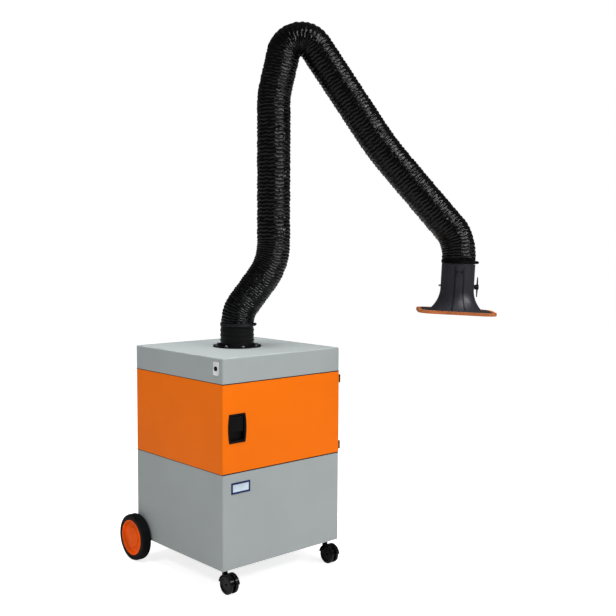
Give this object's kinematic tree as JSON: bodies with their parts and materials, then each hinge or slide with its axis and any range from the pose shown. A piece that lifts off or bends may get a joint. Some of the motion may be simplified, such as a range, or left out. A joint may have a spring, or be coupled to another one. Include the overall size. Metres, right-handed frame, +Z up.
{
  "type": "mobile fume extractor",
  "caption": "Wheeled cabinet with filter, fan and hinged door, carrying a swivelling ribbed hose arm that ends in a damped extraction hood.",
  "frame": {"origin": "on the floor under the middle of the cabinet", "axes": "+Z up, the door faces -Y, +X to the right when facing the door"},
  "size_m": [1.2591, 1.2931, 2.4287],
  "materials": {
    "grey_paint": "satin",
    "orange_paint": "satin",
    "black_plastic": "matte",
    "orange_plastic": "satin",
    "copper_rim": "satin",
    "white_plastic": "gloss",
    "hose_fabric": "satin",
    "rubber": "matte",
    "tyre": "matte",
    "steel": "brushed",
    "aluminium": "satin",
    "filter_board": "matte",
    "filter_cloth": "matte",
    "motor_iron": "satin"
  },
  "bodies": {
    "cabinet": {"lower_housing": "grey_paint", "base_plate": "grey_paint", "housing_seals": "rubber", "filter_housing": "orange_paint", "lid": "grey_paint", "switch_plate": "white_plastic", "filter_rails": "steel", "filter_frame": "filter_board", "filter_pleats": "filter_cloth", "spark_screen": "aluminium", "partition_plate": "steel", "fan_scroll": "steel", "fan_motor": "motor_iron", "exhaust_grille": "black_plastic", "cable_gland": "black_plastic", "door_gasket": "rubber", "hinge_posts": "black_plastic", "rear_axle": "steel", "caster_stems": "steel", "arm_flange": "black_plastic", "flange_screws": "steel"},
    "door": {"filter_door": "orange_paint", "latch_bezel": "black_plastic", "hinge_knuckles": "black_plastic"},
    "paddle": {"latch_paddle": "black_plastic"},
    "bolt": {"latch_bolt": "steel"},
    "button": {"power_button": "black_plastic"},
    "fan": {"fan_impeller": "aluminium", "fan_shaft": "steel"},
    "rear_wheel_left": {"rear_tyre_left": "tyre", "rear_hub_left": "orange_plastic"},
    "rear_wheel_right": {"rear_tyre_right": "tyre", "rear_hub_right": "orange_plastic"},
    "caster_left": {"caster_fork_left": "black_plastic"},
    "caster_roller_left": {"caster_wheels_left": "rubber"},
    "brake_left": {"caster_brake_left": "black_plastic"},
    "caster_right": {"caster_fork_right": "black_plastic"},
    "caster_roller_right": {"caster_wheels_right": "rubber"},
    "brake_right": {"caster_brake_right": "black_plastic"},
    "swivel": {"swivel_collar": "black_plastic", "base_clamp": "steel", "arm_foot": "aluminium", "hose_base": "hose_fabric"},
    "lower_arm": {"lower_strut": "aluminium", "lower_pivot_bolt": "steel", "elbow_pivot_bolt": "steel", "hose_lower": "hose_fabric", "hose_elbow": "hose_fabric"},
    "upper_arm": {"upper_strut": "aluminium", "hose_upper": "hose_fabric", "hose_hood": "hose_fabric"},
    "hood_joint": {"hood_yoke": "aluminium", "hood_pivot_bolt": "steel", "hood_clamp": "steel"},
    "hood": {"hood_shell": "black_plastic", "hood_rim": "copper_rim"},
    "damper": {"damper_flap": "aluminium", "damper_knob": "black_plastic"}
  },
  "joints": [
    {"name": "arm_swivel", "type": "hinge", "parent": "cabinet", "child": "swivel", "pos_m": [0, 0, 1.03], "axis": [0, 0, 1], "range_deg": [-180, 180]},
    {"name": "lower_arm_tilt", "type": "hinge", "parent": "swivel", "child": "lower_arm", "pos_m": [0.10748, -0.10748, 1.37], "axis": [0.7071, 0.7071, 0], "range_deg": [-20, 15], "deforming": ["hose_base"]},
    {"name": "elbow_fold", "type": "hinge", "parent": "lower_arm", "child": "upper_arm", "pos_m": [0.19233, -0.19233, 2.343], "axis": [0.7071, 0.7071, 0], "range_deg": [-75, 12], "deforming": ["hose_elbow"]},
    {"name": "hood_tilt", "type": "hinge", "parent": "upper_arm", "child": "hood_joint", "pos_m": [0.6965, -0.6965, 1.466], "axis": [0.7071, 0.7071, 0], "range_deg": [-60, 35], "deforming": ["hose_hood"]},
    {"name": "hood_turn", "type": "hinge", "parent": "hood_joint", "child": "hood", "pos_m": [0.70145, -0.70145, 1.35559], "axis": [0.0308, -0.0308, 0.999], "range_deg": [-170, 170]},
    {"name": "damper_turn", "type": "hinge", "parent": "hood", "child": "damper", "pos_m": [0.69868, -0.69868, 1.26568], "axis": [0.7064, -0.7064, -0.0436], "range_deg": [0, 90]},
    {"name": "door_hinge", "type": "hinge", "parent": "cabinet", "child": "door", "pos_m": [0.3325, -0.32425, 0.6925], "axis": [0, 0, 1], "range_deg": [0, 130]},
    {"name": "paddle_pull", "type": "hinge", "parent": "door", "child": "paddle", "pos_m": [-0.2525, -0.3225, 0.7375], "axis": [-1, 0, 0], "range_deg": [0, 30], "stiffness_Nm_per_rad": 0.6, "springref_deg": -5.73},
    {"name": "bolt_slide", "type": "slide", "parent": "door", "child": "bolt", "axis": [1, 0, 0], "range_m": [0, 0.008]},
    {"name": "switch_press", "type": "slide", "parent": "cabinet", "child": "button", "axis": [1, 0, 0], "range_m": [0, 0.003], "stiffness_N_per_m": 400, "springref_m": -0.001},
    {"name": "fan_spin", "type": "hinge", "parent": "cabinet", "child": "fan", "pos_m": [0, 0, 0.43], "axis": [0, 0, 1], "continuous": true},
    {"name": "rear_wheel_left_roll", "type": "hinge", "parent": "cabinet", "child": "rear_wheel_left", "pos_m": [-0.3545, 0.3055, 0.105], "axis": [1, 0, 0], "continuous": true},
    {"name": "rear_wheel_right_roll", "type": "hinge", "parent": "cabinet", "child": "rear_wheel_right", "pos_m": [0.3545, 0.3055, 0.105], "axis": [1, 0, 0], "continuous": true},
    {"name": "caster_left_swivel", "type": "hinge", "parent": "cabinet", "child": "caster_left", "pos_m": [-0.2855, -0.2855, 0.1], "axis": [0, 0, 1], "continuous": true},
    {"name": "caster_left_roll", "type": "hinge", "parent": "caster_left", "child": "caster_roller_left", "pos_m": [-0.2855, -0.3155, 0.04], "axis": [1, 0, 0], "continuous": true},
    {"name": "brake_left_press", "type": "hinge", "parent": "caster_left", "child": "brake_left", "pos_m": [-0.2855, -0.3403, 0.0608], "axis": [1, 0, 0], "range_deg": [0, 12]},
    {"name": "caster_right_swivel", "type": "hinge", "parent": "cabinet", "child": "caster_right", "pos_m": [0.2855, -0.2855, 0.1], "axis": [0, 0, 1], "continuous": true},
    {"name": "caster_right_roll", "type": "hinge", "parent": "caster_right", "child": "caster_roller_right", "pos_m": [0.2855, -0.3155, 0.04], "axis": [1, 0, 0], "continuous": true},
    {"name": "brake_right_press", "type": "hinge", "parent": "caster_right", "child": "brake_right", "pos_m": [0.2855, -0.3403, 0.0608], "axis": [1, 0, 0], "range_deg": [0, 12]}
  ],
  "couplings": [
    {"joint": "bolt_slide", "follows": "paddle_pull", "m_per_rad": 0.015279}
  ]
}
